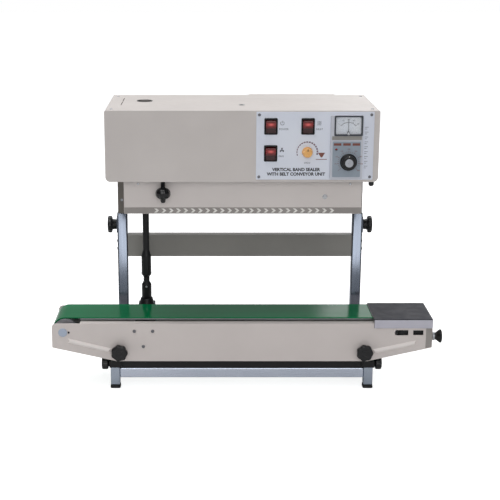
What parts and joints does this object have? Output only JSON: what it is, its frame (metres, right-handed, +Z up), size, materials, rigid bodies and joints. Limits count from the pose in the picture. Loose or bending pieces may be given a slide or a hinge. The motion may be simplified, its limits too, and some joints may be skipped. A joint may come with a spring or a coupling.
{
  "type": "continuous band sealer",
  "caption": "Stand-up bag sealing machine: a sheet-metal head with paired heated bands and a control panel, on telescopic posts over a flat belt conveyor.",
  "frame": {"origin": "middle of the whole machine's footprint, on the floor under the rubber feet", "axes": "+X along the belt's travel, from the feed end to the discharge table; +Y from the control panel to the back; +Z up"},
  "size_m": [0.7638, 0.2834, 0.5505],
  "materials": {
    "cream_paint": "satin powder coat, light warm grey",
    "dark_paint": "satin dark taupe paint",
    "stainless": "polished stainless",
    "zinc_steel": "plain zinc-plated steel",
    "aluminium": "machined",
    "black_plastic": "satin black",
    "black_steel": "semi-gloss black",
    "rubber": "matt",
    "green_belt": "glossy green PVC",
    "slate_plate": "dark grey metallic",
    "panel_sheet": "printed anodised sheet",
    "grey_plastic": "moulded",
    "red_lens": "glossy translucent red",
    "cream_knob": "glossy cream and orange",
    "seal_tape": "glass cloth coated with PTFE",
    "brass": "machined"
  },
  "bodies": {
    "stand": {"left_post": "stainless", "right_post": "stainless", "left_side_frame": "stainless", "right_side_frame": "stainless", "front_left_foot": "rubber", "front_right_foot": "rubber", "rear_left_foot": "rubber", "rear_right_foot": "rubber", "front_cross_tube": "stainless", "rear_crossbar": "dark_paint"},
    "head": {"head_casing": "cream_paint", "seal_guard": "cream_paint", "rear_cover": "cream_paint", "head_base_plate": "zinc_steel", "left_inner_leg": "dark_paint", "right_inner_leg": "dark_paint", "control_panel": "panel_sheet", "temperature_controller": "grey_plastic", "front_heater_block": "brass", "rear_heater_block": "brass", "front_cooling_block": "aluminium", "rear_cooling_block": "aluminium", "front_seal_band": "seal_tape", "rear_seal_band": "seal_tape", "gear_motor": "black_steel"},
    "conveyor": {"front_side_plate": "cream_paint", "rear_side_plate": "cream_paint", "conveyor_belt": "green_belt", "belt_bed": "zinc_steel", "table_plate": "slate_plate", "conveyor_gearbox": "black_steel", "conveyor_carrier": "black_steel"},
    "post_knob_left": {"left_post_knob": "black_plastic"},
    "post_knob_right": {"right_post_knob": "black_plastic"},
    "needle": {"meter_needle": "black_plastic"},
    "dial": {"temperature_dial": "black_plastic"},
    "speed_control": {"speed_knob": "cream_knob"},
    "thumb_screw": {"pressure_screw": "black_plastic"},
    "power_switch": {"power_rocker": "red_lens"},
    "heater_switch": {"heater_rocker": "red_lens"},
    "fan_switch": {"fan_rocker": "red_lens"},
    "front_drive": {"front_drive_wheel": "aluminium"},
    "rear_drive": {"rear_drive_wheel": "aluminium"},
    "front_idler": {"front_idler_wheel": "aluminium"},
    "rear_idler": {"rear_idler_wheel": "aluminium"},
    "front_press": {"front_pressure_roller": "rubber"},
    "rear_press": {"rear_pressure_roller": "rubber"},
    "fan": {"cooling_fan": "black_plastic"},
    "sleeve": {"upper_drive_sleeve": "black_steel"},
    "rod": {"drive_rod": "black_steel"},
    "yoke": {"lower_drive_yoke": "black_steel"},
    "belt_idler": {"idler_roller": "aluminium"},
    "belt_drive": {"drive_roller": "rubber"},
    "tension_slide": {"tension_carriage": "zinc_steel"},
    "belt_tension": {"tension_roller": "aluminium"},
    "tension_screw": {"tension_knob": "black_plastic"},
    "star_left": {"left_star_knob": "black_plastic"},
    "star_right": {"right_star_knob": "black_plastic"},
    "side_knob_left": {"left_side_knob": "black_plastic"},
    "side_knob_right": {"right_side_knob": "black_plastic"}
  },
  "joints": [
    {"name": "head_lift", "type": "slide", "parent": "stand", "child": "head", "axis": [0, 0, 1], "range_m": [-0.04, 0.06]},
    {"name": "conveyor_shift", "type": "slide", "parent": "stand", "child": "conveyor", "axis": [0, 1, 0], "range_m": [-0.02, 0.03]},
    {"name": "post_knob_left_turn", "type": "hinge", "parent": "stand", "child": "post_knob_left", "pos_m": [-0.25895, 0.0947, 0.283], "axis": [1, 0, 0], "range_deg": [0, 720]},
    {"name": "post_knob_right_turn", "type": "hinge", "parent": "stand", "child": "post_knob_right", "pos_m": [0.23905, 0.0947, 0.283], "axis": [1, 0, 0], "range_deg": [-720, 0]},
    {"name": "rod_spin", "type": "hinge", "parent": "stand", "child": "rod", "pos_m": [-0.20295, 0.0377, 0.3], "axis": [0, 0, 1], "continuous": true},
    {"name": "meter_swing", "type": "hinge", "parent": "head", "child": "needle", "pos_m": [0.18505, -0.1253, 0.511], "axis": [0, 1, 0], "range_deg": [-38, 38], "stiffness_Nm_per_rad": 0.004},
    {"name": "temperature_turn", "type": "hinge", "parent": "head", "child": "dial", "pos_m": [0.18635, -0.1303, 0.4551], "axis": [0, 1, 0], "range_deg": [0, 270]},
    {"name": "speed_turn", "type": "hinge", "parent": "head", "child": "speed_control", "pos_m": [0.10955, -0.1283, 0.473], "axis": [0, 1, 0], "range_deg": [0, 270]},
    {"name": "thumb_screw_turn", "type": "hinge", "parent": "head", "child": "thumb_screw", "pos_m": [-0.16195, -0.1103, 0.39], "axis": [0, 0, 1], "range_deg": [-360, 360]},
    {"name": "power_switch_rock", "type": "hinge", "parent": "head", "child": "power_switch", "pos_m": [0.04085, -0.1193, 0.5215], "axis": [1, 0, 0], "range_deg": [-16, 0]},
    {"name": "heater_switch_rock", "type": "hinge", "parent": "head", "child": "heater_switch", "pos_m": [0.10985, -0.1193, 0.5215], "axis": [1, 0, 0], "range_deg": [-16, 0]},
    {"name": "fan_switch_rock", "type": "hinge", "parent": "head", "child": "fan_switch", "pos_m": [0.04085, -0.1193, 0.4706], "axis": [1, 0, 0], "range_deg": [-16, 0]},
    {"name": "rear_drive_spin", "type": "hinge", "parent": "head", "child": "rear_drive", "pos_m": [-0.17495, -0.02165, 0.4], "axis": [0, 0, 1], "continuous": true},
    {"name": "front_drive_spin", "type": "hinge", "parent": "head", "child": "front_drive", "pos_m": [-0.17495, -0.06895, 0.4], "axis": [0, 0, 1], "continuous": true},
    {"name": "rear_idler_spin", "type": "hinge", "parent": "head", "child": "rear_idler", "pos_m": [0.15505, -0.02165, 0.4], "axis": [0, 0, 1], "continuous": true},
    {"name": "front_idler_spin", "type": "hinge", "parent": "head", "child": "front_idler", "pos_m": [0.15505, -0.06895, 0.4], "axis": [0, 0, 1], "continuous": true},
    {"name": "rear_press_spin", "type": "hinge", "parent": "head", "child": "rear_press", "pos_m": [0.09005, -0.02365, 0.4], "axis": [0, 0, 1], "continuous": true},
    {"name": "front_press_spin", "type": "hinge", "parent": "head", "child": "front_press", "pos_m": [0.09005, -0.06695, 0.4], "axis": [0, 0, 1], "continuous": true},
    {"name": "fan_spin", "type": "hinge", "parent": "head", "child": "fan", "pos_m": [-0.06995, 0.0097, 0.44], "axis": [0, 0, 1], "continuous": true},
    {"name": "sleeve_spin", "type": "hinge", "parent": "head", "child": "sleeve", "pos_m": [-0.20295, 0.0377, 0.4], "axis": [0, 0, 1], "continuous": true},
    {"name": "yoke_spin", "type": "hinge", "parent": "conveyor", "child": "yoke", "pos_m": [-0.20295, 0.0377, 0.16], "axis": [0, 0, 1], "continuous": true},
    {"name": "belt_drive_spin", "type": "hinge", "parent": "conveyor", "child": "belt_drive", "pos_m": [-0.20295, -0.0603, 0.1128], "axis": [0, 1, 0], "continuous": true},
    {"name": "belt_idler_spin", "type": "hinge", "parent": "conveyor", "child": "belt_idler", "pos_m": [-0.35595, -0.0603, 0.1165], "axis": [0, 1, 0], "continuous": true},
    {"name": "tension_travel", "type": "slide", "parent": "conveyor", "child": "tension_slide", "axis": [1, 0, 0], "range_m": [-0.0075, 0]},
    {"name": "belt_tension_spin", "type": "hinge", "parent": "tension_slide", "child": "belt_tension", "pos_m": [0.30205, -0.0603, 0.1165], "axis": [0, 1, 0], "continuous": true},
    {"name": "tension_screw_turn", "type": "hinge", "parent": "conveyor", "child": "tension_screw", "pos_m": [0.36105, -0.1083, 0.106], "axis": [1, 0, 0], "range_deg": [0, 2160]},
    {"name": "star_left_turn", "type": "hinge", "parent": "conveyor", "child": "star_left", "pos_m": [-0.24895, -0.1303, 0.079], "axis": [0, 1, 0], "range_deg": [0, 720]},
    {"name": "star_right_turn", "type": "hinge", "parent": "conveyor", "child": "star_right", "pos_m": [0.22905, -0.1303, 0.079], "axis": [0, 1, 0], "range_deg": [0, 720]},
    {"name": "side_knob_left_turn", "type": "hinge", "parent": "conveyor", "child": "side_knob_left", "pos_m": [-0.26995, -0.1063, 0.0505], "axis": [1, 0, 0], "range_deg": [0, 720]},
    {"name": "side_knob_right_turn", "type": "hinge", "parent": "conveyor", "child": "side_knob_right", "pos_m": [0.25005, -0.1063, 0.0505], "axis": [1, 0, 0], "range_deg": [-720, 0]}
  ],
  "couplings": [
    {"joint": "front_drive_spin", "follows": "rear_drive_spin", "ratio": -1},
    {"joint": "rear_idler_spin", "follows": "rear_drive_spin", "ratio": 1},
    {"joint": "front_idler_spin", "follows": "rear_drive_spin", "ratio": -1},
    {"joint": "rear_press_spin", "follows": "rear_drive_spin", "ratio": 1.0985},
    {"joint": "front_press_spin", "follows": "rear_drive_spin", "ratio": -1.0985},
    {"joint": "sleeve_spin", "follows": "rear_drive_spin", "ratio": 1},
    {"joint": "rod_spin", "follows": "rear_drive_spin", "ratio": 1},
    {"joint": "yoke_spin", "follows": "rear_drive_spin", "ratio": 1},
    {"joint": "belt_drive_spin", "follows": "rear_drive_spin", "ratio": 1.1232},
    {"joint": "belt_idler_spin", "follows": "rear_drive_spin", "ratio": 0.95},
    {"joint": "belt_tension_spin", "follows": "rear_drive_spin", "ratio": 0.95},
    {"joint": "tension_screw_turn", "follows": "tension_travel", "rad_per_m": -5026.5}
  ]
}
